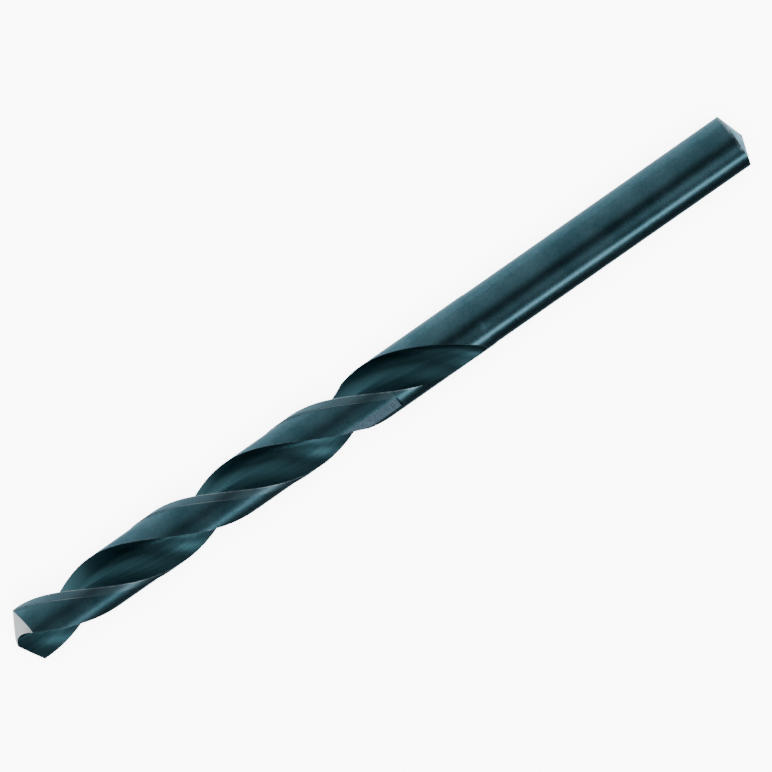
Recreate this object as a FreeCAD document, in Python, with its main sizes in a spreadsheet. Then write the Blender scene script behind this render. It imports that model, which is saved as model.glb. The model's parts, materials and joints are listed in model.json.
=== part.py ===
import FreeCAD, Part
import math
import os
import Sketcher

# Right-hand twist drill with two flutes and a straight shank, in millimetres.
# It lies along X, with the point towards -X, the tail towards +X and the lips along Y.
# The origin is on the axis, where the shank's cylinder meets the conical tail.

DRIVING_SIZES = [
    # whole drill
    ("overall_length", 109.0),
    ("flute_length", 69.0),
    ("drill_diameter", 7.3),        # over the margins
    ("shank_undersize", 0.12),      # the shank's diameter is this much smaller
    ("body_past_flutes", 0.8),      # the body keeps the drill's diameter this far past the flutes
    ("shank_blend", 0.6),           # length of the cone from there down to the shank's diameter
    ("tail_angle", 142.0),          # included angle of the conical tail
    # flutes
    ("helix_lead", 41.6),
    ("web_at_point", 1.05),
    ("web_at_cutter_exit", 1.75),   # the web thickens towards the shank
    ("face_radius", 5.49982),       # side of the flute that ends in the lip
    ("heel_radius", 1.93012),       # side that ends in the heel, where the cutter leaves
    ("cutter_radius", 22.0),        # the run-out follows the cutter as it leaves the work
    # lands
    ("margin_width", 0.97),         # square to the helix
    ("clearance_depth", 0.135),     # of the land behind its margin
    ("clearance_length", 56.4),
    ("wheel_width", 10.5),          # of the wheel that clears the land, along the axis
    ("dwell_depth", 0.05),          # the flat that the wheel leaves where it stops is deeper
    # point
    ("point_angle", 118.0),
    ("flank_cone_angle", 30.0),     # half angle of the cone that a ground flank belongs to
    ("flank_cone_reach", 7.5),      # from the drill's axis back to that cone's tip
    ("flank_skew", 1.8),            # the cone's axis passes this far ahead of the drill's axis
]

LANDS = 2
HELIX_STEPS = 9                     # sections along each half of the helical stretch
RUN_OUT_STEPS = 8
LEAD_IN = 2.0                       # a flute's cut starts this far in front of the point
OVERCUT = 0.6                       # and a cut reaches this far out of the metal

document = FreeCAD.newDocument("twist_drill")
sheet = document.addObject("Spreadsheet::Sheet", "sizes")
for row, (alias, value) in enumerate(DRIVING_SIZES, start=1):
    sheet.set(f"A{row}", alias)
    sheet.set(f"B{row}", str(value))
    sheet.setAlias(f"B{row}", alias)
document.recompute()

worked = document.addObject("App::VarSet", "worked")
body = document.addObject("PartDesign::Body", "twist_drill")
body.Label = "twist_drill"


def work_out(name, expression):
    """Add a size that follows from others, as a property bound to the sheet."""
    worked.addProperty("App::PropertyFloat", name)
    worked.setExpression(name, expression)
    document.recompute()


def value_of(expression):
    result = worked.evalExpression(expression)
    return float(getattr(result, "Value", result))


def work_out_sizes():
    """Sizes worked out from the sheet. Places along the drill are measured from its point."""
    work_out("drill_radius", "sizes.drill_diameter / 2")
    work_out("shank_radius", "drill_radius - sizes.shank_undersize / 2")
    work_out("tail_height", "shank_radius / tan(sizes.tail_angle / 2)")
    work_out("point_x", "tail_height - sizes.overall_length")
    work_out("body_end", "point_x + sizes.flute_length + sizes.body_past_flutes")
    work_out("web_half", "sizes.web_at_point / 2")
    # The cone of a flank: its tip behind the drill's axis, and its own axis leaning to the lip
    work_out("half_point", "sizes.point_angle / 2")
    work_out("cone_tip_y", "-sizes.flank_cone_reach * sin(half_point)")
    work_out("cone_lean", "half_point - sizes.flank_cone_angle")
    work_out("cone_square", "cos(sizes.flank_cone_angle)^2")
    work_out("cone_ahead", cone_depth("-cone_tip_y", "sizes.flank_skew"))
    work_out("corner_y", "sqrt(drill_radius^2 - web_half^2)")
    corner = cone_depth("(corner_y - cone_tip_y)", "(sizes.flank_skew - web_half)")
    work_out("corner_depth", f"{corner} - cone_ahead")
    # Flutes: where the cutter starts to leave the work, and how far a cut runs beyond that
    work_out("cut_depth", "drill_radius - sizes.web_at_cutter_exit / 2")
    work_out("cutter_exit", f"sizes.flute_length - {cutter_chord('cut_depth')}")
    work_out("run_out", cutter_chord(f"(cut_depth + {OVERCUT})"))
    work_out("exit_web_half", "sizes.web_at_cutter_exit / 2")
    work_out("heel_height", "sqrt(drill_radius^2 - sizes.heel_radius^2)")
    # The wall beside the heel's round is radial at the point and upright at the cutter's exit
    work_out("heel_lean", "asin(sizes.heel_radius / drill_radius) / 1 deg")
    # Lands: angles about the axis, in degrees
    work_out("edge_angle", "-asin(web_half / drill_radius) / 1 deg")
    work_out("helix_angle", "atan(2 * pi * drill_radius / sizes.helix_lead) / 1 deg")
    work_out("margin_angle", "sizes.margin_width / cos(helix_angle) / drill_radius * 180 / pi")
    work_out("cleared_radius", "drill_radius - sizes.clearance_depth")
    work_out("flat_radius", "cleared_radius - sizes.dwell_depth")
    # The clearance wheel starts on the -Y side, half a turn before it reaches the lip's corner
    before = "((edge_angle + margin_angle) / 360 + 1 / 2) * sizes.helix_lead"
    work_out("wheel_start", f"corner_depth - {before}")
    work_out("wheel_travel", "sizes.clearance_length - wheel_start")
    work_out("wheel_turn", "wheel_travel / sizes.helix_lead * 360")


def cone_depth(across, aside):
    """How far along X a flank's cone is reached, at a place given from the cone's tip."""
    slope = f"{across} * cos(cone_lean) * sin(cone_lean)"
    spread = f"(cone_square * {aside}^2 + (cone_square - sin(cone_lean)^2) * {across}^2)"
    root = f"sqrt(({slope})^2 + (cos(cone_lean)^2 - cone_square) * {spread})"
    return f"{spread} / ({slope} + {root})"


def cutter_chord(depth):
    """Half the length that a cutter of the given radius touches when it is that deep."""
    return f"sqrt(sizes.cutter_radius^2 - (sizes.cutter_radius - {depth})^2)"


def sketch_on(role, name):
    sketch = body.newObject("Sketcher::SketchObject", name)
    plane = next(item for item in body.Origin.OriginFeatures if item.Role == role)
    sketch.AttachmentSupport = [(plane, "")]
    sketch.MapMode = "FlatFace"
    return sketch


def stand_off(sketch, distance, turn=None):
    """Move a sketch along its plane's normal and turn it about that normal."""
    if turn is not None:
        axis = FreeCAD.Vector(0, 0, 1)
        start = FreeCAD.Rotation(axis, value_of(turn))
        sketch.AttachmentOffset = FreeCAD.Placement(FreeCAD.Vector(0, 0, 0), start)
        sketch.setExpression("AttachmentOffset.Rotation.Angle", turn)
    sketch.setExpression("AttachmentOffset.Base.z", distance)


def bind(sketch, kind, *references, expression):
    """Add a dimension to a sketch and bind it to an expression."""
    number = sketch.addConstraint(Sketcher.Constraint(kind, *references, value_of(expression)))
    sketch.setExpression(f"Constraints[{number}]", expression)


def place_point(sketch, edge, end, x, y):
    """Hold one end of an edge at two expressions, or on an axis where one of them is 0."""
    for kind, expression, axis in (("DistanceX", x, -2), ("DistanceY", y, -1)):
        if expression == "0":
            sketch.addConstraint(Sketcher.Constraint("PointOnObject", edge, end, axis))
        else:
            bind(sketch, kind, -1, 1, edge, end, expression=expression)


def draw_outline(sketch, corners):
    """A closed outline of straight lines through corners given as pairs of expressions."""
    spots = [FreeCAD.Vector(value_of(x), value_of(y), 0) for x, y in corners]
    count = len(spots)
    for i in range(count):
        sketch.addGeometry(Part.LineSegment(spots[i], spots[(i + 1) % count]), False)
    for i in range(count):
        sketch.addConstraint(Sketcher.Constraint("Coincident", i, 2, (i + 1) % count, 1))
        place_point(sketch, i, 1, *corners[i])


def add_feature(kind, name, profile, bound=(), **settings):
    """Add a feature with its settings and bound sizes, and stop if it changes nothing."""
    before = body.Shape.Volume if body.Tip else 0.0
    feature = body.newObject(f"PartDesign::{kind}", name)
    feature.Profile = profile
    for setting, value in settings.items():
        setattr(feature, setting, value)
    for setting, expression in bound:
        setattr(feature, setting, value_of(expression))
        feature.setExpression(setting, expression)
    document.recompute()
    change = feature.Shape.Volume - before
    print(f"{name}: {change:+.2f} mm3")
    if abs(change) < 1e-3 or "Invalid" in feature.State:
        raise RuntimeError(f"{name} changes nothing")
    return feature


def repeat_round(name, features):
    """The same cuts for every land, evenly spaced about the axis."""
    axis = next(item for item in body.Origin.OriginFeatures if item.Role == "X_Axis")
    pattern = body.newObject("PartDesign::PolarPattern", name)
    pattern.Originals = features
    pattern.Axis = (axis, [""])
    pattern.Angle = 360
    pattern.Occurrences = LANDS
    body.Tip = pattern
    document.recompute()
    print(f"{name}: {pattern.Shape.Volume:.2f} mm3 left")
    return pattern


def turn_blank():
    """Body, shank and conical tail, turned in one piece."""
    sketch = sketch_on("XY_Plane", "blank_outline")
    draw_outline(sketch, [
        ("worked.point_x", "0"),
        ("worked.point_x", "worked.drill_radius"),
        ("worked.body_end", "worked.drill_radius"),
        ("worked.body_end + sizes.shank_blend", "worked.shank_radius"),
        ("0", "worked.shank_radius"),
        ("worked.tail_height", "0"),
    ])
    return add_feature("Revolution", "blank", sketch, ReferenceAxis=(sketch, ["H_Axis"]), Angle=360)


def flute_section(name, station, bottom, web, lean):
    """The flute square to the axis: an arc up to the lip, a round and a wall to the heel.

    station is measured from the point, bottom is the height of the flute's floor over the
    axis, and web is the half web that sets how the section is turned, so that the edge
    of the land stays on its helix while the web thickens. The wall leans towards the
    heel by lean, in degrees, and the round beside it keeps the heel where it is."""
    sketch = sketch_on("YZ_Plane", name)
    reach = f"(({web})^2 + 2 * ({web}) * sizes.face_radius + worked.drill_radius^2)"
    level = f"{reach} / (2 * worked.drill_radius * (({web}) + sizes.face_radius))"
    lead_turn = f"(({station}) - worked.corner_depth) / sizes.helix_lead * 360 deg"
    pitch_turn = f"{360 / LANDS - 90} deg + worked.edge_angle * 1 deg"
    stand_off(sketch, f"worked.point_x + {station}", f"{pitch_turn} + {lead_turn} - acos({level})")

    slant = f"({lean}) * 1 deg"
    drop = f"(worked.heel_height - ({web})) * sin({slant})"
    round_radius = f"(sizes.heel_radius * cos({slant}) - {drop}) / (1 - sin({slant}))"
    floor = value_of(bottom)
    face = value_of("sizes.face_radius")
    heel = value_of(round_radius)
    turn = math.radians(value_of(lean))
    up = FreeCAD.Vector(0, 0, 1)
    heel_circle = Part.Circle(FreeCAD.Vector(0, floor + heel, 0), up, heel)
    face_circle = Part.Circle(FreeCAD.Vector(0, floor + face, 0), up, face)
    heel_end = FreeCAD.Vector(heel * math.cos(turn), floor + heel * (1 - math.sin(turn)), 0)
    rise = floor + face - heel_end.y
    heel_top = FreeCAD.Vector(heel_end.x + rise * math.tan(turn), floor + face, 0)
    face_top = FreeCAD.Vector(-face, floor + face, 0)
    sketch.addGeometry([
        Part.ArcOfCircle(heel_circle, 1.5 * math.pi, 2 * math.pi - turn),
        Part.LineSegment(heel_end, heel_top),
        Part.LineSegment(heel_top, face_top),
        Part.ArcOfCircle(face_circle, math.pi, 1.5 * math.pi),
    ], False)
    sketch.addConstraint(Sketcher.Constraint("Tangent", 0, 2, 1, 1))
    for edge, following in ((1, 2), (2, 3), (3, 0)):
        sketch.addConstraint(Sketcher.Constraint("Coincident", edge, 2, following, 1))
    for edge, end in ((0, 3), (3, 3), (0, 1)):
        sketch.addConstraint(Sketcher.Constraint("PointOnObject", edge, end, -2))
    sketch.addConstraint(Sketcher.Constraint("Horizontal", 3, 3, 3, 1))
    sketch.addConstraint(Sketcher.Constraint("Horizontal", 2))
    number = sketch.addConstraint(Sketcher.Constraint("Angle", 1, math.pi / 2 - turn))
    sketch.setExpression(f"Constraints[{number}]", f"90 deg - {slant}")
    bind(sketch, "Radius", 0, expression=round_radius)
    bind(sketch, "Radius", 3, expression="sizes.face_radius")
    bind(sketch, "DistanceY", -1, 1, 0, 1, expression=bottom)
    return sketch


def cut_flute():
    """One flute: two lofts along the helix and one where the cutter leaves the work."""
    growth = "(sizes.web_at_cutter_exit - sizes.web_at_point) / 2 / worked.cutter_exit"
    sections = []
    for i in range(2 * HELIX_STEPS + 1):
        share = i / (2 * HELIX_STEPS)
        station = f"({-LEAD_IN} + (worked.cutter_exit + {LEAD_IN}) * {share})"
        web = f"worked.web_half + {growth} * {station}"
        lean = f"worked.heel_lean * (1 - {station} / worked.cutter_exit)"
        sections.append(flute_section(f"flute_{i:02d}", station, web, web, lean))
    for i in range(1, RUN_OUT_STEPS + 1):
        travel = f"worked.run_out * {i / RUN_OUT_STEPS}"
        rise = f"sizes.cutter_radius - sqrt(sizes.cutter_radius^2 - ({travel})^2)"
        station = f"(worked.cutter_exit + {travel})"
        name = f"run_out_{i:02d}"
        web = "worked.exit_web_half"
        sections.append(flute_section(name, station, f"{web} + {rise}", web, "0"))
    document.recompute()
    parts = []
    stretches = (("flute_front", 0, HELIX_STEPS), ("flute_back", HELIX_STEPS, 2 * HELIX_STEPS),
                 ("flute_run_out", 2 * HELIX_STEPS, len(sections) - 1))
    for name, first, last in stretches:
        following = sections[first + 1:last + 1]
        parts.append(add_feature("SubtractiveLoft", name, sections[first], Sections=following))
    return parts


def clear_land():
    """The land behind its margin, ground by a wheel that follows the helix and then stops."""
    outside = f"(worked.drill_radius + {OVERCUT})"
    wheel = sketch_on("XY_Plane", "wheel_outline")
    right = "worked.point_x + worked.wheel_start"
    left = f"{right} - sizes.wheel_width"
    draw_outline(wheel, [
        (left, "-worked.cleared_radius"),
        (right, "-worked.cleared_radius"),
        (right, f"-{outside}"),
        (left, f"-{outside}"),
    ])
    path = (("Pitch", "sizes.helix_lead"), ("Height", "worked.wheel_travel"))
    cleared = add_feature("SubtractiveHelix", "land_clearance", wheel, path,
                          ReferenceAxis=(wheel, ["H_Axis"]), Mode="pitch-height-angle", Angle=0)

    # The flat that the wheel leaves where it stops, from the wheel's own width
    stop = sketch_on("YZ_Plane", "flat_outline")
    turn = "worked.wheel_turn * 1 deg + 90 deg + acos(worked.flat_radius / worked.cleared_radius)"
    stand_off(stop, "worked.point_x + sizes.clearance_length", turn)
    draw_outline(stop, [
        ("-worked.drill_radius", "worked.flat_radius"),
        ("worked.drill_radius", "worked.flat_radius"),
        ("worked.drill_radius", outside),
        ("-worked.drill_radius", outside),
    ])
    flat = add_feature("Pocket", "dwell_flat", stop, (("Length", "sizes.wheel_width"),), Type=0)
    return [cleared, flat]


def grind_flank():
    """One flank of the point: everything outside a cone that leans towards the lip."""
    sketch = sketch_on("XY_Plane", "flank_outline")
    stand_off(sketch, "-sizes.flank_skew")
    tip_x = "(worked.point_x - worked.cone_ahead)"
    along = "(sizes.flank_cone_reach + sizes.drill_diameter)"
    rim_x = f"{tip_x} + {along} * cos(worked.half_point)"
    rim_y = f"worked.cone_tip_y + {along} * sin(worked.half_point)"
    out_x = f"{rim_x} - sizes.drill_diameter * sin(worked.half_point)"
    out_y = f"{rim_y} + sizes.drill_diameter * cos(worked.half_point)"
    back_x = f"{tip_x} - sizes.drill_diameter * cos(worked.cone_lean)"
    back_y = "worked.cone_tip_y - sizes.drill_diameter * sin(worked.cone_lean)"
    draw_outline(sketch, [
        (tip_x, "worked.cone_tip_y"),
        (rim_x, rim_y),
        (out_x, out_y),
        (back_x, back_y),
    ])
    # The cone's axis is a construction line on from the outline's last corner and its first
    start = FreeCAD.Vector(value_of(back_x), value_of(back_y), 0)
    finish = FreeCAD.Vector(value_of(tip_x), value_of("worked.cone_tip_y"), 0)
    axis = sketch.addGeometry(Part.LineSegment(start, finish), True)
    sketch.addConstraint(Sketcher.Constraint("Coincident", axis, 1, 3, 1))
    sketch.addConstraint(Sketcher.Constraint("Coincident", axis, 2, 0, 1))
    return add_feature("Groove", "flank", sketch, ReferenceAxis=(sketch, ["Axis0"]), Angle=360)


def check_document():
    """Stop if any object has failed, or if the drill isn't one valid solid."""
    for item in document.Objects:
        if "Invalid" in item.State or "Error" in item.State:
            raise RuntimeError(f"{item.Name} has failed")
    shape = body.Shape
    if shape.isNull() or not shape.isValid() or len(shape.Solids) != 1:
        raise RuntimeError("the drill isn't one valid solid")


work_out_sizes()
turn_blank()
repeat_round("flutes", cut_flute())
repeat_round("lands", clear_land())
repeat_round("point", [grind_flank()])
check_document()

os.makedirs("parts", exist_ok=True)
body.Shape.exportStep(f"parts/{body.Label}.step")
print(f"twist_drill: {body.Shape.Volume:.2f} mm3, {len(body.Shape.Faces)} faces")
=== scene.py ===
import json
import math

import bmesh
import bpy
from mathutils import Matrix, Vector

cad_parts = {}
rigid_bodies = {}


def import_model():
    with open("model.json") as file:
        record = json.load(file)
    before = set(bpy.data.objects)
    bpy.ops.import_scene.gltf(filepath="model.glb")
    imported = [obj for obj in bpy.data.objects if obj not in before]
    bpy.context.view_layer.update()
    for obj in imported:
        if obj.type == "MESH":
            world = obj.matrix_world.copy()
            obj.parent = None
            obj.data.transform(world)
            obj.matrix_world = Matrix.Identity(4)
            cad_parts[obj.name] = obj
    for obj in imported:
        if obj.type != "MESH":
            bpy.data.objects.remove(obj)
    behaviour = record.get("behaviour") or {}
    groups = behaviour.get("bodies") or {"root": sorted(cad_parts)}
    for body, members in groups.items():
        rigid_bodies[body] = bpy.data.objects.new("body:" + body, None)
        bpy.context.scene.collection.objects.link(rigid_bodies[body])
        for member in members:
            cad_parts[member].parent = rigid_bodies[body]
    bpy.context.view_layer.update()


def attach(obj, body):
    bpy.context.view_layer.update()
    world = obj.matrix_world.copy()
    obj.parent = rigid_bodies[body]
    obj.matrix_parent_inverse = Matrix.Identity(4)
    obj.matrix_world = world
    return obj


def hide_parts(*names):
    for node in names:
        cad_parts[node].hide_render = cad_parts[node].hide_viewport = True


for startup in list(bpy.data.objects):
    bpy.data.objects.remove(startup)
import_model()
print("frame loaded")

mm = 0.001
farAway = 9.0           # millimetres, further than any gap that the finishes look at


# a socket that can be used in a sum: every operator adds its own Math node
class Wire:
    def __init__(self, tree, socket):
        self.tree = tree
        self.socket = socket

    def math(self, operation, *others):
        values = dict(enumerate((self,) + others))
        return node(self.tree, "ShaderNodeMath", {"operation": operation}, values)[0]

    def __add__(self, other):
        return self.math("ADD", other)

    def __sub__(self, other):
        return self.math("SUBTRACT", other)

    def __mul__(self, other):
        return self.math("MULTIPLY", other)

    def __truediv__(self, other):
        return self.math("DIVIDE", other)

    def __pow__(self, other):
        return self.math("POWER", other)

    def __neg__(self):
        return self.math("MULTIPLY", -1.0)

    def __radd__(self, other):
        return self.math("ADD", other)

    def __rmul__(self, other):
        return self.math("MULTIPLY", other)

    def __rsub__(self, other):
        return node(self.tree, "ShaderNodeMath", {"operation": "SUBTRACT"}, {0: other, 1: self})[0]

    def __rtruediv__(self, other):
        return node(self.tree, "ShaderNodeMath", {"operation": "DIVIDE"}, {0: other, 1: self})[0]

    def low(self, other):
        return self.math("MINIMUM", other)

    def high(self, other):
        return self.math("MAXIMUM", other)

    def within(self, lowest, highest):
        return self.high(lowest).low(highest)

    def under(self, other):
        return self.math("LESS_THAN", other)

    def atLeast(self, other):
        return 1.0 - self.under(other)

    def sin(self):
        return self.math("SINE")

    def cos(self):
        return self.math("COSINE")

    def arcCos(self):
        return self.math("ARCCOSINE")

    def arcSin(self):
        return self.math("ARCSINE")

    def root(self):
        return self.high(0.0).math("SQRT")

    # 0 up to the start and 1 from the end on
    def ramp(self, start, end):
        return ((self - start) / (end - start)).within(0.0, 1.0)

    # 0 below a level and 1 above it, with a short slope between
    def past(self, level):
        return self.ramp(level - 0.2, level + 0.2)


def plug(tree, socket, value):
    if isinstance(value, Wire):
        tree.links.new(value.socket, socket)
    elif value is not None:
        socket.default_value = value


# any node: its settings go first, then its sockets by name or number; gives its outputs as wires
def node(tree, kind, settings=None, values=None):
    made = tree.nodes.new(kind)
    for name, value in (settings or {}).items():
        setattr(made, name, value)
    for name, value in (values or {}).items():
        plug(tree, made.inputs[name], value)
    return [Wire(tree, socket) for socket in made.outputs]


def choose(test, yes, no):
    return no + (yes - no) * test


def blendTo(share, start, end):
    return start + (end - start) * share


# the drill's sizes, in millimetres and radians
drill = {
    "Overall Length": 109.0,
    "Flute Length": 69.0,
    "Drill Radius": 3.65,
    "Shank Radius": 3.59,
    "Body Past Flutes": 0.8,
    "Shank Blend": 0.6,
    "Tail Half Angle": math.radians(71.0),
    "Helix Lead": 41.6,
    "Web At Point": 0.525,        # half of the web's thickness
    "Web At Exit": 0.875,         # the same, where the cutter starts to leave
    "Face Radius": 5.49982,       # of the flute on the lip's side
    "Heel Radius": 1.93012,       # of the flute's round on the heel's side, where the cutter leaves
    "Cutter Radius": 22.0,
    "Margin Width": 0.97,
    "Clearance Depth": 0.135,
    "Clearance End": 56.4,
    "Dwell Depth": 0.05,
    "Half Point": math.radians(59.0),
    "Flank Cone": math.radians(30.0),
    "Cone Reach": 7.5,
    "Cone Skew": 1.8,
    "Chisel Share": 0.133026,     # of the face's arc, where the two ground flanks meet
}
frontEnd = 5.0          # behind this station the rows are square to the axis
flatFrom = 48.0         # the wheel's flat shows from about here on
fluteShut = 0.0005      # a flute counts as run out this close to its end
hair = 1e-5             # radians within which two edges count as one
weldDistance = 2e-6     # metres
slideRounds = 8         # rounds in which a point slides onto the ground flank
heelRounds = 3          # rounds in which the heel's edge settles on the land
wearAndHighlightRows = (9, 15)      # rows behind the wheel's stop, over which the worn edge and its painted highlight end

# the surface is one grid: strips of columns across one land and one flute, with how many
# columns each has and about how many millimetres it is wide, and stretches of rows along it
strips = {"margin": (8, 0.97), "step": (1, 0.135), "cleared": (23, 4.0), "flat": (14, 1.8),
          "behind": (72, 8.0), "wall": (5, 1.2), "heel": (19, 1.6), "web": (8, 0.5), "lip": (32, 3.3)}
stretches = {"front": 22, "body": 136, "dwell": 36, "stop": 1, "exit": 60,
             "past": 2, "blend": 3, "shank": 40, "tail": 16}
stripWidths = {name: width for name, (count, width) in strips.items()}

# faces of different bands meet in a sharp edge
bands = {"flute": 0.0, "body": 1.0, "step": 2.0, "cleared": 3.0, "flat": 4.0,
         "flank": 5.0, "otherFlank": 6.0, "tail": 7.0, "stop": 8.0}
stripBands = {"margin": "body", "step": "step", "cleared": "cleared", "flat": "flat",
              "behind": "body", "wall": "flute", "heel": "flute", "web": "flute", "lip": "flute"}


# where each strip or stretch starts and ends in the grid
def numbered(counts):
    ends, total = {}, 0
    for name, count in counts.items():
        ends[name] = (total, total + count)
        total += count
    return ends, total


stripEnds, allColumns = numbered({name: count for name, (count, width) in strips.items()})
stretchEnds, allRows = numbered(stretches)


# the drill's own rules, worked out from its sizes
class DrillRules:
    def __init__(self, sizes):
        s = self.s = sizes
        # the cone that a flank belongs to
        coneLean = s["Half Point"] - s["Flank Cone"]
        self.square = s["Flank Cone"].cos() ** 2.0
        self.coneSin, self.coneCos = coneLean.sin(), coneLean.cos()
        self.tipY = -(s["Cone Reach"] * s["Half Point"].sin())
        self.ahead = self.coneDepth(-self.tipY, s["Cone Skew"])

    def workOutFlutes(self):
        s = self.s
        cornerY = (s["Drill Radius"] ** 2.0 - s["Web At Point"] ** 2.0).root()
        corner = self.coneDepth(cornerY - self.tipY, s["Cone Skew"] - s["Web At Point"])
        self.corner = corner - self.ahead
        # where the cutter starts to leave, and the angle of a lip's corner
        depth = s["Drill Radius"] - s["Web At Exit"]
        reach = (s["Cutter Radius"] ** 2.0 - (s["Cutter Radius"] - depth) ** 2.0).root()
        self.exit = s["Flute Length"] - reach
        self.edge = -((s["Web At Point"] / s["Drill Radius"]).arcSin())
        # the lands
        helix = (2.0 * math.pi * s["Drill Radius"] / s["Helix Lead"]).math("ARCTANGENT")
        self.marginAngle = s["Margin Width"] / helix.cos() / s["Drill Radius"]
        self.clearedRadius = s["Drill Radius"] - s["Clearance Depth"]
        self.flatRadius = self.clearedRadius - s["Dwell Depth"]
        self.twist = 2.0 * math.pi / s["Helix Lead"]
        self.stopAngle = self.edge + (s["Clearance End"] - self.corner) * self.twist + self.marginAngle
        self.flatMiddle = self.stopAngle + (self.flatRadius / self.clearedRadius).arcCos()
        self.flatEnd = self.flatMiddle + (self.flatRadius / s["Drill Radius"]).arcCos()

    # how far along the drill a flank's cone is reached, at a place given from the cone's tip
    def coneDepth(self, across, aside):
        slope = across * self.coneCos * self.coneSin
        spread = self.square * aside ** 2.0 + (self.square - self.coneSin ** 2.0) * across ** 2.0
        root = (slope ** 2.0 + (self.coneCos ** 2.0 - self.square) * spread).root()
        return spread / (slope + root)

    # the ground point over a place across the drill: the further back of its two flanks
    def flankAt(self, y, z, side):
        return self.coneDepth(y * side - self.tipY, z * side + self.s["Cone Skew"]) - self.ahead

    def pointAt(self, y, z):
        return self.flankAt(y, z, 1.0).high(self.flankAt(y, z, -1.0))

    # the flute at a station: the height of its floor, the direction of its deepest line,
    # and where the land of the lip starts
    def flute(self, station):
        s = self.s
        share = (station / self.exit).low(1.0)
        web = blendTo(share, s["Web At Point"], s["Web At Exit"])
        # the wall on the heel's side is radial at the point and upright where the cutter leaves
        self.lean = (s["Heel Radius"] / s["Drill Radius"]).arcSin() * (1.0 - share)
        self.leanSin, self.leanCos = self.lean.sin(), self.lean.cos()
        heelHeight = (s["Drill Radius"] ** 2.0 - s["Heel Radius"] ** 2.0).root()
        drop = (heelHeight - web) * self.leanSin
        self.round = (s["Heel Radius"] * self.leanCos - drop) / (1.0 - self.leanSin)
        gone = (station - self.exit).high(0.0)
        rise = s["Cutter Radius"] - (s["Cutter Radius"] ** 2.0 - gone ** 2.0).root()
        self.floor = (web + rise).low(s["Drill Radius"])
        self.open = station.under(s["Flute Length"] - fluteShut)
        level = self.level(web, s["Face Radius"], s["Drill Radius"])
        self.up = (station - self.corner) * self.twist + self.edge + math.pi - level.arcCos()
        level = self.level(self.floor, s["Face Radius"], s["Drill Radius"])
        self.lead = self.up + level.within(-1.0, 1.0).arcCos() * self.open - math.pi
        high = level * s["Drill Radius"]
        bend = (self.floor + s["Face Radius"] - high) / s["Face Radius"]
        self.faceTurn = bend.within(-1.0, 1.0).arcCos() * self.open

    # how high an arc that stands on the floor meets a circle about the axis, over its radius
    def level(self, floor, arc, radius):
        return (floor ** 2.0 + 2.0 * floor * arc + radius ** 2.0) / (2.0 * radius * (floor + arc))

    # a place on the heel's round, across the flute and up from the axis
    def onRound(self, bend):
        return self.round * bend.sin(), self.floor + self.round * (1.0 - bend.cos())

    # where the heel's wall reaches a land of the given radius, as an angle back from "up"
    def heelTurn(self, radius):
        middle = self.floor + self.round
        high = self.level(self.floor, self.round, radius) * radius
        free = ((middle - high) / self.round).within(-1.0, 1.0).arcCos()
        upright = math.pi / 2 - self.lean
        self.sweep = free.low(upright) * self.open
        self.endX, self.endY = self.onRound(self.sweep)
        aside = self.endX * self.leanCos - self.endY * self.leanSin
        wallTurn = self.lean + (aside / radius).within(-1.0, 1.0).arcSin()
        roundTurn = (self.endX / radius).within(-1.0, 1.0).arcSin()
        return choose(free.under(upright), roundTurn, wallTurn)

    # the land's radius between its margin and its heel
    def landRadius(self, angle):
        s = self.s
        flat = (self.flatRadius / (angle - self.flatMiddle).cos()).within(0.0, s["Drill Radius"])
        cleared = choose(angle.under(self.stopAngle), self.clearedRadius, flat)
        return choose(s["Behind"], s["Drill Radius"], cleared)

    # y and z of each strip of the outline, at a share of its width
    def outline(self, share):
        s = self.s
        self.workOutFlutes()
        self.flute(s["Station"].low(s["Flute Length"]))
        turn = self.heelTurn(choose(s["Behind"], s["Drill Radius"], self.clearedRadius))
        for i in range(heelRounds):
            turn = self.heelTurn(self.landRadius(self.up - turn))
        heel = self.up - turn
        heelRadius = self.landRadius(heel)
        # the land, as angles and radii
        margin = (self.lead + self.marginAngle).low(heel)
        first = self.stopAngle.high(margin).low(heel)
        first = choose(s["Behind"], margin, first)
        second = self.flatEnd.high(margin).low(heel)
        inner = choose(s["Behind"], s["Drill Radius"], self.clearedRadius)
        flatAngle = blendTo(share["flat"], first, second)
        land = {"margin": (blendTo(share["margin"], self.lead, margin), s["Drill Radius"]),
                "step": (margin, blendTo(share["step"], s["Drill Radius"], inner)),
                "cleared": (blendTo(share["cleared"], margin, first), inner),
                "flat": (flatAngle, self.landRadius(flatAngle)),
                "behind": (blendTo(share["behind"], second, heel), s["Drill Radius"])}
        # where the flat's end and the heel meet, the last strip keeps to the flat's radius
        angle, radius = land["behind"]
        land["behind"] = (angle, choose(second.under(heel - hair), radius, heelRadius))
        places = {name: (radius * angle.cos(), radius * angle.sin())
                  for name, (angle, radius) in land.items()}
        # the flute, in its own directions: across it and up from its floor
        topX, topY = heelRadius * turn.sin(), heelRadius * turn.cos()
        webBend = self.faceTurn * share["web"] * s["Chisel Share"]
        lipBend = self.faceTurn * blendTo(share["lip"], s["Chisel Share"], 1.0)
        across = {"wall": (blendTo(share["wall"], topX, self.endX),
                           blendTo(share["wall"], topY, self.endY)),
                  "heel": self.onRound(self.sweep * (1.0 - share["heel"]))}
        for name, bend in (("web", webBend), ("lip", lipBend)):
            across[name] = (-(s["Face Radius"] * bend.sin()),
                            self.floor + s["Face Radius"] * (1.0 - bend.cos()))
        upSin, upCos = self.up.sin(), self.up.cos()
        for name, (x, y) in across.items():
            places[name] = (x * upSin + y * upCos, y * upSin - x * upCos)
        return places


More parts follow.
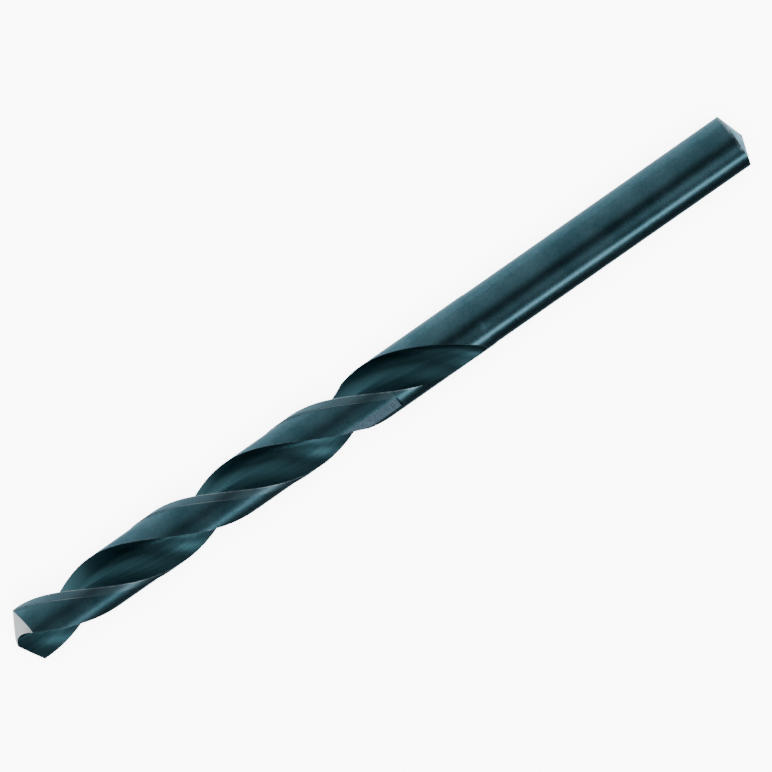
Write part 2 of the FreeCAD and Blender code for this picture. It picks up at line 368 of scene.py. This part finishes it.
# a group with named inputs, and its sizes as wires
def groupOf(name, inputs, outputs):
    tree = bpy.data.node_groups.new(name, "GeometryNodeTree")
    for kind, sockets in (("OUTPUT", outputs), ("INPUT", inputs)):
        for title, socket in sockets:
            tree.interface.new_socket(title, in_out=kind, socket_type="NodeSocket" + socket)
    wires = node(tree, "NodeGroupInput")
    return tree, {title: wire for (title, socket), wire in zip(inputs, wires)}


# y and z of the outline at a column of the grid and a station along the drill
def outlineGroup():
    floats = [(name, "Float") for name in ["Column", "Station", "Behind"] + list(drill)]
    tree, sizes = groupOf("drillOutline", floats, [("Y", "Float"), ("Z", "Float")])
    column = sizes["Column"]
    share = {name: column.ramp(start, end) for name, (start, end) in stripEnds.items()}
    places = DrillRules(sizes).outline(share)
    y, z = places["margin"]
    for name, (start, end) in list(stripEnds.items())[1:]:
        later = column.atLeast(start + 0.25)
        y, z = choose(later, places[name][0], y), choose(later, places[name][1], z)
    node(tree, "NodeGroupOutput", {}, {0: y, 1: z})
    return tree


# how far behind the point the two ground flanks lie over a place across the drill
def groundGroup():
    floats = [(name, "Float") for name in ["Y", "Z"] + list(drill)]
    tree, sizes = groupOf("groundPoint", floats, [("Station", "Float")])
    rules = DrillRules(sizes)
    node(tree, "NodeGroupOutput", {}, {0: rules.pointAt(sizes["Y"], sizes["Z"])})
    return tree


def surfaceTree():
    inputs = [(name, "Float") for name in drill]
    inputs += [(name, "Material") for name in ("Oxide", "Ground", "Tail")]
    tree, sizes = groupOf("drillSurface", inputs, [("Geometry", "Geometry")])
    outlineTree, groundTree = outlineGroup(), groundGroup()
    steel = {name: sizes[name] for name in drill}

    def separate(wire):
        return node(tree, "ShaderNodeSeparateXYZ", {}, {0: wire})

    def vector(x, y, z):
        return node(tree, "ShaderNodeCombineXYZ", {}, {0: x, 1: y, 2: z})[0]

    def move(mesh, place):
        return node(tree, "GeometryNodeSetPosition", {}, {"Geometry": mesh, "Position": place})[0]

    def store(mesh, name, value, kind="FLOAT", domain="POINT"):
        return node(tree, "GeometryNodeStoreNamedAttribute", {"data_type": kind, "domain": domain},
                    {"Geometry": mesh, "Name": name, "Value": value})[0]

    def stored(name, kind="FLOAT"):
        return node(tree, "GeometryNodeInputNamedAttribute", {"data_type": kind}, {"Name": name})[0]

    def outline(column, station, behind):
        values = {"Column": column, "Station": station, "Behind": behind, **steel}
        return node(tree, "GeometryNodeGroup", {"node_tree": outlineTree}, values)

    def groundAt(y, z):
        values = {"Y": y, "Z": z, **steel}
        return node(tree, "GeometryNodeGroup", {"node_tree": groundTree}, values)[0]

    # a flat grid whose points know their column and row
    def grid(across, along):
        mesh = node(tree, "GeometryNodeMeshGrid", {},
                    {"Size X": 1.0, "Size Y": 1.0, "Vertices X": across + 1, "Vertices Y": along + 1})[0]
        mesh = store(mesh, "column", (spot[0] + 0.5) * across)
        return store(mesh, "row", (spot[1] + 0.5) * along)

    spot = separate(node(tree, "GeometryNodeInputPosition")[0])
    column, row = stored("column"), stored("row")
    ground = groundAt(spot[1], spot[2])

    # points slide along their own helix until they lie on the ground point
    def slideBack(mesh, columnHere):
        y, z = outline(columnHere, ground, 0.0)
        place = vector(ground, y, z)
        for i in range(slideRounds):
            mesh = move(mesh, place)
        return mesh

    # one land and one flute, from the point to the tail
    half = slideBack(grid(allColumns, allRows), column)
    done = {name: row.ramp(start, end) for name, (start, end) in stretchEnds.items()}
    tailHeight = sizes["Shank Radius"] / sizes["Tail Half Angle"].math("TANGENT")
    shankLength = (sizes["Overall Length"] - tailHeight - sizes["Flute Length"]
                   - sizes["Body Past Flutes"] - sizes["Shank Blend"])
    station = (blendTo(done["front"], spot[0], frontEnd)
               + done["body"] * (flatFrom - frontEnd)
               + done["dwell"] * (sizes["Clearance End"] - flatFrom)
               + (1.0 - (1.0 - done["exit"]) ** 2.0) * (sizes["Flute Length"] - sizes["Clearance End"])
               + done["past"] * sizes["Body Past Flutes"]
               + done["blend"] * sizes["Shank Blend"]
               + done["shank"] * shankLength
               + done["tail"] * tailHeight)
    radius = (sizes["Drill Radius"] + (sizes["Shank Radius"] - sizes["Drill Radius"]) * done["blend"]
              - sizes["Shank Radius"] * done["tail"])
    past = row.atLeast(stretchEnds["stop"][0] + 0.5)
    y, z = outline(column, station, past)
    size = radius / sizes["Drill Radius"]
    half = move(half, vector(station, y * size, z * size))

    # each face belongs to a band of the surface
    band = bands[stripBands["margin"]]
    for name, (start, end) in list(stripEnds.items())[1:]:
        band = choose(column.atLeast(start), bands[stripBands[name]], band)
    stopRow, exitRow = (row.math("GREATER_THAN", stretchEnds[name][0]) for name in ("stop", "exit"))
    onLand = column.under(stripEnds["wall"][0])
    band = choose(exitRow * onLand, bands["body"], band)
    band = choose(stopRow - exitRow, bands["stop"], band)
    for name, number in (("past", bands["body"]), ("tail", bands["tail"])):
        band = choose(row.math("GREATER_THAN", stretchEnds[name][0]), number, band)
    half = store(half, "band", band, "FLOAT", "FACE")

    # what the finishes follow: millimetres round the outline and along the drill, and a zone,
    # which is 0 in the flute, 1 on the land, 2 on the margin and 3 on the step behind it
    dwelt = row.atLeast(stretchEnds["dwell"][0] + 0.5)
    widths = {name: stripWidths[name] * dwelt if name in ("flat", "behind") else stripWidths[name]
              for name in strips}
    length = 0.0
    for name, ends in stripEnds.items():
        length = column.ramp(*ends) * widths[name] + length
    onMargin = column.under(stripEnds["margin"][1]) * (1.0 - past)
    onStep = column.under(stripEnds["step"][1]) * (1.0 - past)
    zone = onLand + onStep * 2.0 - onMargin
    half = store(half, "grain", vector(length, station, zone), "FLOAT_VECTOR", "CORNER")

    # how far the land's leading edge and its heel are, and a mark: 1 on the wheel's flat and -1 where the
    # wheel stopped, for painted shade in that corner
    leadGap = (column.ramp(*stripEnds["margin"]) * widths["margin"]
               + column.atLeast(stripEnds["step"][0] + 0.5) * farAway)
    leadGap = leadGap.low((1.0 - column.ramp(*stripEnds["lip"])) * widths["lip"]
                          + column.under(stripEnds["lip"][0] - 0.5) * farAway)
    heelGap = 0.0
    for name in ("cleared", "flat", "behind"):
        heelGap = (1.0 - column.ramp(*stripEnds[name])) * widths[name] + heelGap
    for name in ("wall", "heel"):
        heelGap = column.ramp(*stripEnds[name]) * widths[name] + heelGap
    untilFlatEnds = column.under(stripEnds["flat"][1] + 0.5)
    onFlat = (column.atLeast(stripEnds["flat"][0]) * untilFlatEnds * dwelt
              * row.under(stretchEnds["stop"][0] + 0.5))
    stopShadeRow = (row.atLeast(stretchEnds["stop"][0]) * row.under(stretchEnds["stop"][1] + 0.5)
              * column.atLeast(stripEnds["step"][0]) * untilFlatEnds)
    # the pale edge, partly wear and partly painted highlight, runs a few rows past the wheel's stop
    beyondWearAndHighlight = row.ramp(*(stretchEnds["exit"][0] + rows for rows in wearAndHighlightRows))
    gaps = vector(leadGap + beyondWearAndHighlight * farAway, heelGap, onFlat - stopShadeRow)
    half = store(half, "gaps", gaps, "FLOAT_VECTOR", "CORNER")

    # the ground flank, drawn between its lip, its heel, its land and the chisel edge
    lipCount = stripEnds["lip"][1] - stripEnds["lip"][0]
    landCount = stripEnds["cleared"][1]
    flank = grid(lipCount, landCount)
    flank = slideBack(flank, column + stripEnds["lip"][0])
    flank = store(flank, "lipLine", vector(spot[0], -spot[1], -spot[2]), "FLOAT_VECTOR")
    flank = slideBack(flank, stripEnds["lip"][0] - column)
    here = vector(*spot[:3])
    flank = store(flank, "heelLine", here, "FLOAT_VECTOR")
    flank = slideBack(flank, row)
    flank = store(flank, "landLine", here, "FLOAT_VECTOR")
    corner = lipCount * (landCount + 1)     # the number of the point at the lip's corner
    settings = {"data_type": "FLOAT_VECTOR", "domain": "POINT"}
    ends = []
    for index in (corner, corner + landCount):
        values = {"Value": stored("landLine", "FLOAT_VECTOR"), "Index": index}
        ends.append(separate(node(tree, "GeometryNodeFieldAtIndex", settings, values)[0]))
    lines = [separate(stored(name, "FLOAT_VECTOR")) for name in ("lipLine", "heelLine", "landLine")]
    across, along = column / lipCount, row / landCount
    places = []
    for i in (1, 2):
        bulge = lines[2][i] - blendTo(along, ends[0][i], ends[1][i])
        places.append(blendTo(along, lines[0][i], lines[1][i]) + across * bulge)
    flank = move(flank, vector(groundAt(*places), *places))
    flank = store(flank, "band", bands["flank"], "FLOAT", "FACE")

    # the other half is the same, turned half round; its flank is a band of its own
    def join(*meshes):
        joined = tree.nodes.new("GeometryNodeJoinGeometry")
        for mesh in meshes:
            tree.links.new(mesh.socket, joined.inputs[0])
        return Wire(tree, joined.outputs[0])

    half = join(half, flank)
    pointX = tailHeight - sizes["Overall Length"]
    half = move(half, vector((spot[0] + pointX) * mm, spot[1] * mm, spot[2] * mm))
    other = move(half, vector(spot[0], -spot[1], -spot[2]))
    onFlank = stored("band").math("COMPARE", bands["flank"], 0.5)
    otherBand = choose(onFlank, bands["otherFlank"], stored("band"))
    other = store(other, "band", otherBand, "FLOAT", "FACE")
    values = {"Geometry": join(half, other), "Distance": weldDistance}
    mesh = node(tree, "GeometryNodeMergeByDistance", {}, values)[0]
    mesh = node(tree, "GeometryNodeRealizeInstances", {}, {"Geometry": mesh})[0]
    onTail = stored("band").math("COMPARE", bands["tail"], 0.5)
    onFlanks = stored("band").math("COMPARE", (bands["flank"] + bands["otherFlank"]) / 2, 0.9)
    for paint, where in (("Oxide", None), ("Tail", onTail), ("Ground", onFlanks)):
        mesh = node(tree, "GeometryNodeSetMaterial", {},
                    {"Geometry": mesh, "Selection": where, "Material": sizes[paint]})[0]
    node(tree, "NodeGroupOutput", {}, {0: mesh})
    return tree


def makeDrill(paints):
    tree = surfaceTree()
    print("surface tree:", len(tree.nodes), "nodes")
    start = bpy.data.objects.new("drillStart", bpy.data.meshes.new("drillStart"))
    bpy.context.scene.collection.objects.link(start)
    made = start.modifiers.new("surface", "NODES")
    made.node_group = tree
    for item in tree.interface.items_tree:
        if item.in_out == "INPUT":
            made[item.identifier] = drill[item.name] if item.name in drill else paints[item.name]
    bpy.context.view_layer.update()
    evaluated = start.evaluated_get(bpy.context.evaluated_depsgraph_get())
    mesh = bpy.data.meshes.new_from_object(evaluated)
    bpy.data.objects.remove(start)
    piece = bpy.data.objects.new("drillBit", mesh)
    bpy.context.scene.collection.objects.link(piece)

    shape = bmesh.new()
    shape.from_mesh(mesh)
    bmesh.ops.dissolve_degenerate(shape, dist=weldDistance / 2, edges=shape.edges)
    loose = [edge for edge in shape.edges if not edge.link_faces]
    bmesh.ops.delete(shape, geom=loose, context="EDGES")
    bmesh.ops.recalc_face_normals(shape, faces=shape.faces)
    band = shape.faces.layers.float["band"]
    for face in shape.faces:
        face.smooth = True
    for edge in shape.edges:
        edge.smooth = len({round(face[band]) for face in edge.link_faces}) == 1
    openEdges = [edge for edge in shape.edges if len(edge.link_faces) != 2]
    print("drill:", len(openEdges), "open edges,", round(shape.calc_volume() / mm ** 3, 2), "mm3")
    shape.to_mesh(mesh)
    shape.free()
    print("drill:", sum(len(face.vertices) - 2 for face in mesh.polygons), "triangles")
    return piece


# the camera, as the photograph was taken
camera = {
    "distance": 283.08 * mm,          # from the drill's middle
    "focalPixels": 2305.36,
    "picturePixels": 772,
    "middlePixels": (373.714, 392.980),   # where the drill's middle lies in the picture
    "middleX": -53.43 * mm,           # and where it lies along the drill
    "roll": 0.610649,                 # radians, in the picture
    "tilt": 0.0630729,                # radians, the tail comes nearer
    "turn": 0.0522028,                # radians, round the drill's own axis
    "sensor": 36.0,
    "clip": (0.01, 10.0),
}


def setCamera():
    made = bpy.data.cameras.new("camera")
    made.sensor_width = camera["sensor"]
    made.lens = camera["focalPixels"] / camera["picturePixels"] * camera["sensor"]
    made.clip_start, made.clip_end = camera["clip"]
    holder = bpy.data.objects.new("camera", made)
    bpy.context.scene.collection.objects.link(holder)
    bpy.context.scene.camera = holder
    # the drill as the camera sees it: rolled in the picture, tilted, turned round its axis
    rolled = Matrix.Rotation(camera["roll"], 4, "Z")
    tilted = Matrix.Rotation(-camera["tilt"], 4, "Y")
    turned = Matrix.Rotation(camera["turn"], 4, "X")
    seen = rolled @ tilted @ turned
    scale = camera["distance"] / camera["focalPixels"]
    half = camera["picturePixels"] / 2
    right, down = camera["middlePixels"]
    place = Vector(((right - half) * scale, (half - down) * scale, -camera["distance"]))
    seen.translation = place - seen.to_3x3() @ Vector((camera["middleX"], 0, 0))
    holder.matrix_world = seen.inverted()


# the studio: the steel mirrors softboxes in the world and a card that lies on the floor, and
# one light from above gives the floor its shading
studio = {
    "floorColour": (0.82, 0.83, 0.84, 1.0),
    "floorRoughness": 0.9,
    "floorGlow": 6.0,
    "floorReach": 1.5,
    "floorDrop": 0.02 * mm,       # under the drill
    "cardDrop": 0.01 * mm,
    "cardTint": (0.94, 1.0, 1.03, 1.0),
    "cardPale": 1.5,
    "cardDark": 0.10,
    "cardEdge": (-7.0, -5.0),     # where the card turns from dark to pale, in millimetres of Y
    "skyPower": 60.0,
    "skyHeight": 0.9,
    "skySize": 1.2,
    "worldTint": (0.96, 1.0, 1.02, 1.0),
    "ceiling": 0.12,
    # each softbox: where it comes in and where it ends, in degrees from straight up towards
    # the drill's +Y side, the same along the drill, and how bright it is
    "softboxes": [((6, 30), (150, 170), (-3.0, -2.0), (2.0, 3.0), 0.62),
                  ((45, 75), (150, 170), (-3.0, -2.0), (2.0, 3.0), 0.25),
                  ((-82, -77), (-70, -65), (-0.50, -0.20), (0.20, 0.50), 6.0),
                  ((-60, -35), (-22, -10), (-3.0, -2.0), (2.0, 3.0), 0.22),
                  ((-52, -42), (-28, -18), (0.02, 0.09), (0.15, 0.25), 0.90)],
    # a small lamp that the flutes mirror: where it is, its edge in degrees, how bright it is
    "lamp": ((0.49, -0.46, 0.74), (12, 5), 8.0),
    "backdropTint": (0.97, 0.98, 1.0, 1.0),
    "backdrop": 6.0,
}


def makeStage(name, paint, low):
    mesh = bpy.data.meshes.new(name)
    reach = studio["floorReach"]
    corners = [(-reach, -reach, low), (reach, -reach, low), (reach, reach, low), (-reach, reach, low)]
    mesh.from_pydata(corners, [], [(0, 1, 2, 3)])
    mesh.materials.append(paint)
    made = bpy.data.objects.new(name, mesh)
    bpy.context.scene.collection.objects.link(made)
    return made


def addSky():
    made = bpy.data.lights.new("sky", "AREA")
    made.energy = studio["skyPower"]
    made.size = studio["skySize"]
    holder = bpy.data.objects.new("sky", made)
    holder.location = (0, 0, studio["skyHeight"])
    holder.visible_glossy = False
    bpy.context.scene.collection.objects.link(holder)


# a material's empty tree, and what every finish uses
def newPaint(name):
    paint = bpy.data.materials.new(name)
    paint.use_nodes = True
    paint.node_tree.nodes.clear()
    return paint, paint.node_tree


# bare or blackened steel, with its bumps as a height, a strength and a depth in metres
def steelFinish(tree, surface, height, strength, depth):
    bump = node(tree, "ShaderNodeBump", {}, {"Height": height, "Strength": strength, "Distance": depth})[0]
    values = {"Metallic": 1.0, "Normal": bump, **surface}
    shader = node(tree, "ShaderNodeBsdfPrincipled", {}, values)[0]
    node(tree, "ShaderNodeOutputMaterial", {}, {"Surface": shader})


def noise(tree, place, scale, detail=2.0, roughness=0.5):
    return node(tree, "ShaderNodeTexNoise", {"noise_dimensions": "3D"},
                {"Vector": place, "Scale": scale, "Detail": detail, "Roughness": roughness})[0]


def mixColour(tree, share, first, second):
    mixed = tree.nodes.new("ShaderNodeMix")
    mixed.data_type = "RGBA"
    plug(tree, mixed.inputs[0], share)
    plug(tree, mixed.inputs[6], first)
    plug(tree, mixed.inputs[7], second)
    return Wire(tree, mixed.outputs[2])


def split(tree, vector):
    return node(tree, "ShaderNodeSeparateXYZ", {}, {0: vector})


def combine(tree, x, y, z):
    return node(tree, "ShaderNodeCombineXYZ", {}, {0: x, 1: y, 2: z})[0]


def attribute(tree, name):
    return split(tree, node(tree, "ShaderNodeAttribute", {"attribute_name": name})[1])


def objectPlace(tree):
    return node(tree, "ShaderNodeTexCoord")[3]


# the black oxide on everything but the flanks and the tail
oxide = {
    "dark": (0.035, 0.087, 0.109, 1.0),
    "light": (0.063, 0.131, 0.159, 1.0),
    "fluteDark": (0.024, 0.064, 0.077, 1.0),
    "fluteLight": (0.047, 0.111, 0.133, 1.0),
    # painted reflection on the heel's wall, and painted shade beside the ground flank
    "heelWallPaintedLight": (0.050, 0.118, 0.138, 1.0),
    "heelShade": (0.010, 0.025, 0.031, 1.0),
    "margin": (0.100, 0.168, 0.200, 1.0),
    # painted highlight: the step behind the margin is pale steel, lifted further so that it shows as a
    # light line
    "step": (0.62, 0.74, 0.78, 1.0),
    "flatDark": (0.046, 0.076, 0.100, 1.0),
    "flatLight": (0.108, 0.155, 0.195, 1.0),
    "stop": (0.008, 0.018, 0.022, 1.0),       # painted shade in the corner where the wheel stopped
    # painted highlight and wear: pale steel on the edges, partly oxide rubbed off and partly a painted
    # edge highlight and glint
    "wearAndHighlight": (0.38, 0.47, 0.50, 1.0),
    "grazing": (0.78, 0.93, 1.0, 1.0),        # what a grazing look at the finish gives back
    "shankRoughness": 0.27,
    "marginRoughness": 0.38,
    "landRoughness": 0.39,
    "fluteRoughness": 0.42,
    "cloudScale": 260.0,
    "grainScale": 2600.0,
    "speckScale": 6000.0,         # on the wheel's flat
    "wearAndGlintScale": 900.0,
    # marks, as how fine they are across and along, to the millimetre
    "ringMarks": (0.15, 9.0),
    "drawnMarks": (1.3, 0.04),
    "wearAndHighlightMarks": (0.4, 1.6),
    # places, in millimetres
    "pointShade": (2.5, 6.5),     # from the point back
    "clearedFades": (-1.0, 3.0),  # from where the clearance ends
    "leadWearAndHighlight": (0.03, 0.13),     # from the land's leading edge
    "heelWearAndHighlight": (0.01, 0.09),     # from the heel
    "tailWearAndGlint": (-0.40, -0.05),   # from the tail's edge
}


def oxidePaint():
    paint, tree = newPaint("blackOxide")
    across, along, zone = attribute(tree, "grain")
    leadGap, heelGap, mark = attribute(tree, "gaps")
    place = objectPlace(tree)
    land, margin, step = (zone.past(level) for level in (0.5, 1.5, 2.5))
    flat, stop = mark.past(0.5), (-mark).past(0.5)

    def marks(kind, start):
        fineAcross, fineAlong = oxide[kind]
        return combine(tree, along * fineAlong, across * fineAcross, start)

    clouds = noise(tree, place, oxide["cloudScale"], 4.0, 0.6)
    grains = noise(tree, place, oxide["grainScale"], 2.0, 0.6)
    specks = noise(tree, place, oxide["speckScale"], 1.0, 0.5)
    # marks of the wheel: round the body and shank, along the helix in the flutes
    ring = noise(tree, marks("ringMarks", 0.0), 1.0, 3.0, 0.7)
    drawn = noise(tree, marks("drawnMarks", 3.0), 1.0, 3.0, 0.55)
    tone = (clouds * 0.70 + grains * 0.32 + ring * 0.12).ramp(0.46, 0.72)
    onLand = mixColour(tree, tone, oxide["dark"], oxide["light"])
    tone = (drawn * 0.85 + clouds * 0.25 + grains * 0.1).ramp(0.46, 0.78)
    inFlute = mixColour(tree, tone, oxide["fluteDark"], oxide["fluteLight"])
    # painted light and shade: the wall on the heel's side is painted lighter as a painted reflection, and
    # painted shade darkens it beside the ground flank
    behindPoint = along.ramp(*oxide["pointShade"])
    wall = (1.0 - heelGap.ramp(0.8, 2.2)) * behindPoint
    inFlute = mixColour(tree, wall, inFlute, oxide["heelWallPaintedLight"])
    shade = (1.0 - heelGap.ramp(0.4, 2.4)) * (1.0 - behindPoint) * 0.85
    inFlute = mixColour(tree, shade, inFlute, oxide["heelShade"])
    colour = mixColour(tree, land, inFlute, onLand)
    onFlat = mixColour(tree, specks.ramp(0.36, 0.64), oxide["flatDark"], oxide["flatLight"])
    colour = mixColour(tree, flat * 0.85, colour, onFlat)
    colour = mixColour(tree, margin * (0.45 + clouds * 0.5), colour, oxide["margin"])
    # painted highlight on the step behind the margin
    colour = mixColour(tree, step, colour, oxide["step"])
    # painted shade in the corner where the wheel stopped
    colour = mixColour(tree, stop, colour, oxide["stop"])
    # painted highlight and wear along the edges, here and there: pale steel where the finish is rubbed off
    # and where the edges catch the light
    wearAndHighlightBreaks = noise(tree, marks("wearAndHighlightMarks", 7.0), 1.0, 3.0, 0.65)
    lead = (1.0 - leadGap.ramp(*oxide["leadWearAndHighlight"])) * wearAndHighlightBreaks.ramp(0.34, 0.56)
    heel = (1.0 - heelGap.ramp(*oxide["heelWearAndHighlight"])) * wearAndHighlightBreaks.ramp(0.42, 0.68) * 0.7 * land
    fromTail = split(tree, place)[0] / mm
    patches = noise(tree, place, oxide["wearAndGlintScale"], 3.0, 0.6).ramp(0.44, 0.60)
    wearAndHighlight = lead.high(heel).high(fromTail.ramp(*oxide["tailWearAndGlint"]) * patches)
    colour = mixColour(tree, wearAndHighlight, colour, oxide["wearAndHighlight"])
    cleared = 1.0 - (along - drill["Clearance End"]).ramp(*oxide["clearedFades"])
    landRoughness = choose(margin, oxide["marginRoughness"], oxide["landRoughness"])
    landRoughness = blendTo(cleared, oxide["shankRoughness"], landRoughness)
    roughness = choose(land, landRoughness, oxide["fluteRoughness"]) + (clouds - 0.5) * 0.14
    height = ring * land * 0.4 + drawn * (1.0 - land) * 0.6 + grains * 0.2
    surface = {"Base Color": colour, "Roughness": roughness, "Specular Tint": oxide["grazing"]}
    steelFinish(tree, surface, height, 0.3, 0.008 * mm)
    return paint


# bare steel on the flanks, with the wheel's lines across them
ground = {
    "dark": (0.45, 0.47, 0.48, 1.0),
    "light": (0.70, 0.715, 0.72, 1.0),
    "roughness": 0.32,
    "lines": (5500.0, 350.0),     # how fine they are across and along
    "cloudScale": 700.0,
}


def groundPaint():
    paint, tree = newPaint("groundSteel")
    place = objectPlace(tree)
    x, y, z = split(tree, place)
    fineAcross, fineAlong = ground["lines"]
    lines = noise(tree, combine(tree, (x * 0.5 + z) * fineAcross, y * fineAlong, 0.0), 1.0, 3.0, 0.7)
    clouds = noise(tree, place, ground["cloudScale"], 3.0)
    tone = (lines * 0.6 + clouds * 0.5).ramp(0.35, 0.8)
    colour = mixColour(tree, tone, ground["dark"], ground["light"])
    roughness = ground["roughness"] + (lines - 0.5) * 0.2
    steelFinish(tree, {"Base Color": colour, "Roughness": roughness}, lines, 0.4, 0.01 * mm)
    return paint


# the turned tail, where the oxide is thin
tail = {
    "dark": (0.12, 0.25, 0.31, 1.0),
    "light": (0.44, 0.61, 0.69, 1.0),
    "grazing": (0.65, 0.88, 0.97, 1.0),
    "roughness": 0.40,
    "ringsToMillimetre": 9.0,
    "cloudScale": 500.0,
}


def tailPaint():
    paint, tree = newPaint("turnedTail")
    place = objectPlace(tree)
    x, y, z = split(tree, place)
    out = (y * y + z * z).root() / mm
    rings = noise(tree, combine(tree, out * tail["ringsToMillimetre"], 0.0, 0.0), 1.0, 3.0, 0.7)
    clouds = noise(tree, place, tail["cloudScale"], 4.0, 0.65)
    tone = (rings * 0.3 + clouds * 0.8).ramp(0.45, 0.66)
    colour = mixColour(tree, tone, tail["dark"], tail["light"])
    roughness = tail["roughness"] + (rings - 0.5) * 0.2
    surface = {"Base Color": colour, "Roughness": roughness, "Specular Tint": tail["grazing"]}
    steelFinish(tree, surface, rings, 0.5, 0.02 * mm)
    return paint


def floorPaint():
    paint, tree = newPaint("paleFloor")
    values = {"Base Color": studio["floorColour"], "Roughness": studio["floorRoughness"],
              "Emission Color": (1.0, 1.0, 1.0, 1.0), "Emission Strength": studio["floorGlow"]}
    shader = node(tree, "ShaderNodeBsdfPrincipled", {}, values)[0]
    node(tree, "ShaderNodeOutputMaterial", {}, {"Surface": shader})
    return paint


# what the steel mirrors of the floor: pale on the drill's +Y side, dark on the other
def cardPaint():
    paint, tree = newPaint("reflectedFloor")
    x, y, z = split(tree, objectPlace(tree))
    glow = choose((y / mm).ramp(*studio["cardEdge"]), studio["cardPale"], studio["cardDark"])
    shader = node(tree, "ShaderNodeEmission", {}, {"Color": studio["cardTint"], "Strength": glow})[0]
    node(tree, "ShaderNodeOutputMaterial", {}, {"Surface": shader})
    return paint


def setWorld():
    world = bpy.data.worlds.new("studio")
    bpy.context.scene.world = world
    world.use_nodes = True
    tree = world.node_tree
    tree.nodes.clear()
    x, y, z = split(tree, node(tree, "ShaderNodeTexCoord")[0])
    turn = y.math("ARCTAN2", z) * math.degrees(1.0)
    glow = studio["ceiling"]
    for rise, fall, start, end, level in studio["softboxes"]:
        around = turn.ramp(*rise) * (1.0 - turn.ramp(*fall))
        glow = glow + around * x.ramp(*start) * (1.0 - x.ramp(*end)) * level
    spot, edge, level = studio["lamp"]
    spot = Vector(spot).normalized()
    outer, inner = (math.cos(math.radians(turned)) for turned in edge)
    glow = glow + (x * spot.x + y * spot.y + z * spot.z).ramp(outer, inner) * level

    def background(tint, strength):
        return node(tree, "ShaderNodeBackground", {}, {"Color": tint, "Strength": strength})[0]

    lit = background(studio["worldTint"], glow)
    seen = background(studio["backdropTint"], studio["backdrop"])
    toCamera = node(tree, "ShaderNodeLightPath")[0]
    both = node(tree, "ShaderNodeMixShader", {}, {0: toCamera, 1: lit, 2: seen})[0]
    node(tree, "ShaderNodeOutputWorld", {}, {"Surface": both})


paints = {"Oxide": oxidePaint(), "Ground": groundPaint(), "Tail": tailPaint()}
bit = makeDrill(paints)
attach(bit, "root")
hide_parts("twist_drill")
print("drill made")

lowest = -drill["Drill Radius"] * mm
floor = makeStage("floor", floorPaint(), lowest - studio["floorDrop"])
floor.visible_glossy = False
card = makeStage("reflectedFloor", cardPaint(), lowest - studio["cardDrop"])
card.visible_camera = card.visible_diffuse = card.visible_shadow = card.visible_transmission = False
setCamera()
addSky()
setWorld()
print("stage made")
